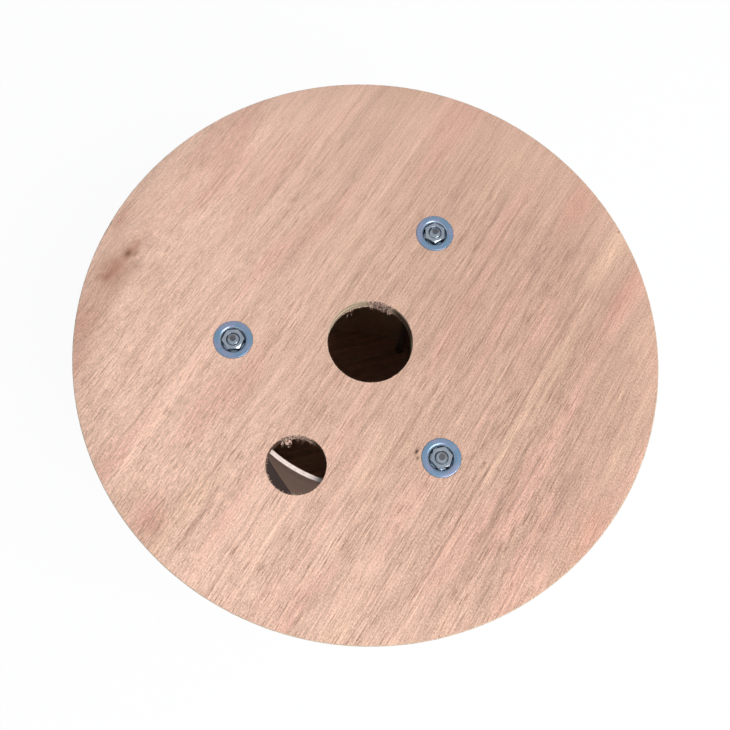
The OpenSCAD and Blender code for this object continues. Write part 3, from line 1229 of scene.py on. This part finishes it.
def zinc(name, tints, metallic, roughness):
    """Zinc plating with a faint drift of tint, handling marks and tiny pits. Its blue is partly a blue
    passivation and, on the brim, partly a painted reflection of the sky.
    """
    n = Material(name)
    place = n.places()
    drift = n.noise(place, (6, 6, 6))
    grit = n.noise(place, (0.45, 0.45, 0.45), detail=3.0)
    scratch = n.noise(place, (3.5, 0.16, 2), detail=1.0)
    colour = n.mix(n.span(drift, 0.38, 0.62), *tints)
    colour = n.mix(n.span(grit, 0.55, 0.75, 0.0, 0.25), colour, GRIME)
    dull = n.add(n.span(grit, 0.3, 0.7, *roughness), n.span(scratch, 0.6, 0.75, 0.0, 0.12))
    n.set(Base_Color=colour, Metallic=metallic, Roughness=dull)
    n.bump(n.add(grit, n.times(scratch, 0.4)), 0.03, 0.35)
    return n.material


def cut_steel(name):
    """Bare sawn end of a bolt, dull and a little rusty."""
    n = Material(name)
    x, y, _ = n.places()
    saw = n.noise((x, y), (2.5, 0.25), 1.0)
    rust = n.noise((x, y), (1.2, 1.2), 4.0)
    colour = n.mix(n.span(rust, 0.45, 0.65, 0.0, 0.6), CUT_STEEL, CUT_RUST)
    n.set(Base_Color=colour, Metallic=0.7, Roughness=n.span(saw, 0.3, 0.7, 0.4, 0.6))
    n.bump(saw, 0.05, 0.5)
    return n.material


# Stage

FLOOR_HALF_M = 6.0
FLOOR_DROP_M = 0.0002
FLOOR_GREY = (0.5, 0.5, 0.5)
WHITE = (1.0, 1.0, 1.0)
SHADOW_SHARE = 0.06
CAMERA_TURN = math.radians(-1.0)
CAMERA_PLACE = Vector((-26.55, -145.65, 457.8 + TOP_Z))
CAMERA_TILT = (math.radians(16.1), math.radians(-3.31), math.radians(1.54))
CAMERA_CLIP_M = 0.01
FOCAL_PX = 939.0
IMAGE_PX = 730.0
SENSOR_MM = 36.0
KEY_AZIMUTH = math.radians(-42)
KEY_ELEVATION = math.radians(54)
KEY_DISTANCE_M = 1.5
KEY_SIZE_M = 1.0
KEY_WATTS = 19.0
DOME_LOW = (0.66, 0.66, 0.67)
DOME_HIGH = (0.27, 0.31, 0.38)
DOME_HIGH_FROM = 0.95
DOME_AZIMUTH = math.radians(-25)
DOME_SIDES = (0.46, 1.54)


def make_camera():
    data = bpy.data.cameras.new("camera")
    data.sensor_fit = "HORIZONTAL"
    data.sensor_width = SENSOR_MM
    data.lens = FOCAL_PX / IMAGE_PX * SENSOR_MM
    data.clip_start = CAMERA_CLIP_M
    data.dof.use_dof = False
    camera = new_object("camera", data)
    tilt_x, tilt_y, roll = CAMERA_TILT
    turn = Matrix.Rotation(CAMERA_TURN, 4, "Z")
    aim = Matrix.Rotation(roll, 4, "Z") @ Matrix.Rotation(tilt_x, 4, "X") @ Matrix.Rotation(tilt_y, 4, "Y")
    camera.matrix_world = turn @ Matrix.Translation(CAMERA_PLACE * MM) @ aim
    bpy.context.scene.camera = camera


def make_floor():
    """White floor: seen directly it is nearly plain white, with a faint shadow."""
    mesh = bpy.data.meshes.new("floor")
    h = FLOOR_HALF_M
    mesh.from_pydata([(-h, -h, 0), (h, -h, 0), (h, h, 0), (-h, h, 0)], [], [(0, 1, 2, 3)])
    floor = new_object("floor", mesh)
    n = Material("floor_white")
    seen = n.seen()
    n.set(Base_Color=n.mix(seen, FLOOR_GREY, WHITE), Roughness=0.9)
    glow = n.node("ShaderNodeEmission")
    surface = n.blend(n.times(seen, 1.0 - SHADOW_SHARE), n.shader.outputs[0], glow.outputs[0])
    n.link(surface, n.tree.nodes["Material Output"].inputs["Surface"])
    mesh.materials.append(n.material)
    floor.location.z = -FLOOR_DROP_M


def make_key():
    """Large soft lamp above one side."""
    data = bpy.data.lights.new("key", "AREA")
    data.shape = "DISK"
    data.size = KEY_SIZE_M
    data.energy = KEY_WATTS
    key = new_object("key", data)
    flat = math.cos(KEY_ELEVATION)
    aim = Vector((flat * math.cos(KEY_AZIMUTH), flat * math.sin(KEY_AZIMUTH), math.sin(KEY_ELEVATION)))
    key.location = aim * KEY_DISTANCE_M + Vector((0, 0, TOP_Z * MM))
    key.rotation_euler = aim.to_track_quat("Z", "Y").to_euler()


def make_world():
    """Soft dome, brighter to one side and low down, that is plain white where it is seen."""
    world = bpy.data.worlds.new("studio")
    bpy.context.scene.world = world
    world.use_nodes = True
    n = Nodes(world.node_tree)
    place = n.node("ShaderNodeTexCoord").outputs["Generated"]
    ramp = n.node("ShaderNodeValToRGB")
    n.link(n.parts(place)["Z"], ramp.inputs[0])
    low, high = ramp.color_ramp.elements
    low.color = (*DOME_LOW, 1.0)
    high.color = (*DOME_HIGH, 1.0)
    high.position = DOME_HIGH_FROM
    side = n.node("ShaderNodeVectorMath", operation="DOT_PRODUCT")
    n.link(place, side.inputs[0])
    side.inputs[1].default_value = (math.cos(DOME_AZIMUTH), math.sin(DOME_AZIMUTH), 0)
    dome = n.tree.nodes["Background"]
    n.link(ramp.outputs[0], dome.inputs["Color"])
    n.link(n.span(side.outputs["Value"], -1.0, 1.0, *DOME_SIDES, "LINEAR"), dome.inputs["Strength"])
    white = n.node("ShaderNodeBackground")
    white.inputs["Color"].default_value = (*WHITE, 1.0)
    surface = n.blend(n.seen(), dome.outputs[0], white.outputs[0])
    n.link(surface, n.tree.nodes["World Output"].inputs["Surface"])


make_camera()
fibre_wood = torn_wood("torn_fibres")
top_veneer = veneer("veneer_top", GRAIN_ANGLE, 0.0, True)
make_flange_top((top_veneer, ply_edge("ply_edge_top", GRAIN_ANGLE, TOP_Z, True), fibre_wood))
bottom_veneer = veneer("veneer_bottom", LOW_GRAIN_ANGLE, 40.0, False)
make_flange_bottom((bottom_veneer, ply_edge("ply_edge_bottom", LOW_GRAIN_ANGLE, 0.0, False), fibre_wood))
make_barrel(paperboard("paperboard"))
brim_zinc_sky = zinc("zinc_brim", *BRIM_ZINC_SKY)
dish_zinc = zinc("zinc_dish", *DISH_ZINC)
bolt_zinc = zinc("zinc_bolt", *BOLT_ZINC)
bolt_end = cut_steel("bolt_end")
for i in BOLTS:
    make_bolt(i, bolt_zinc, bolt_end)
    make_washer("washer_top", i, BRIM_Z, True, brim_zinc_sky, dish_zinc)
    make_washer("washer_bottom", i, 0.0, False, brim_zinc_sky, dish_zinc)
    frame["nodes"][f"nut_{i}"].data.materials.clear()
    frame["nodes"][f"nut_{i}"].data.materials.append(bolt_zinc)
make_floor()
make_key()
make_world()
bpy.context.scene.view_settings.view_transform = "Standard"
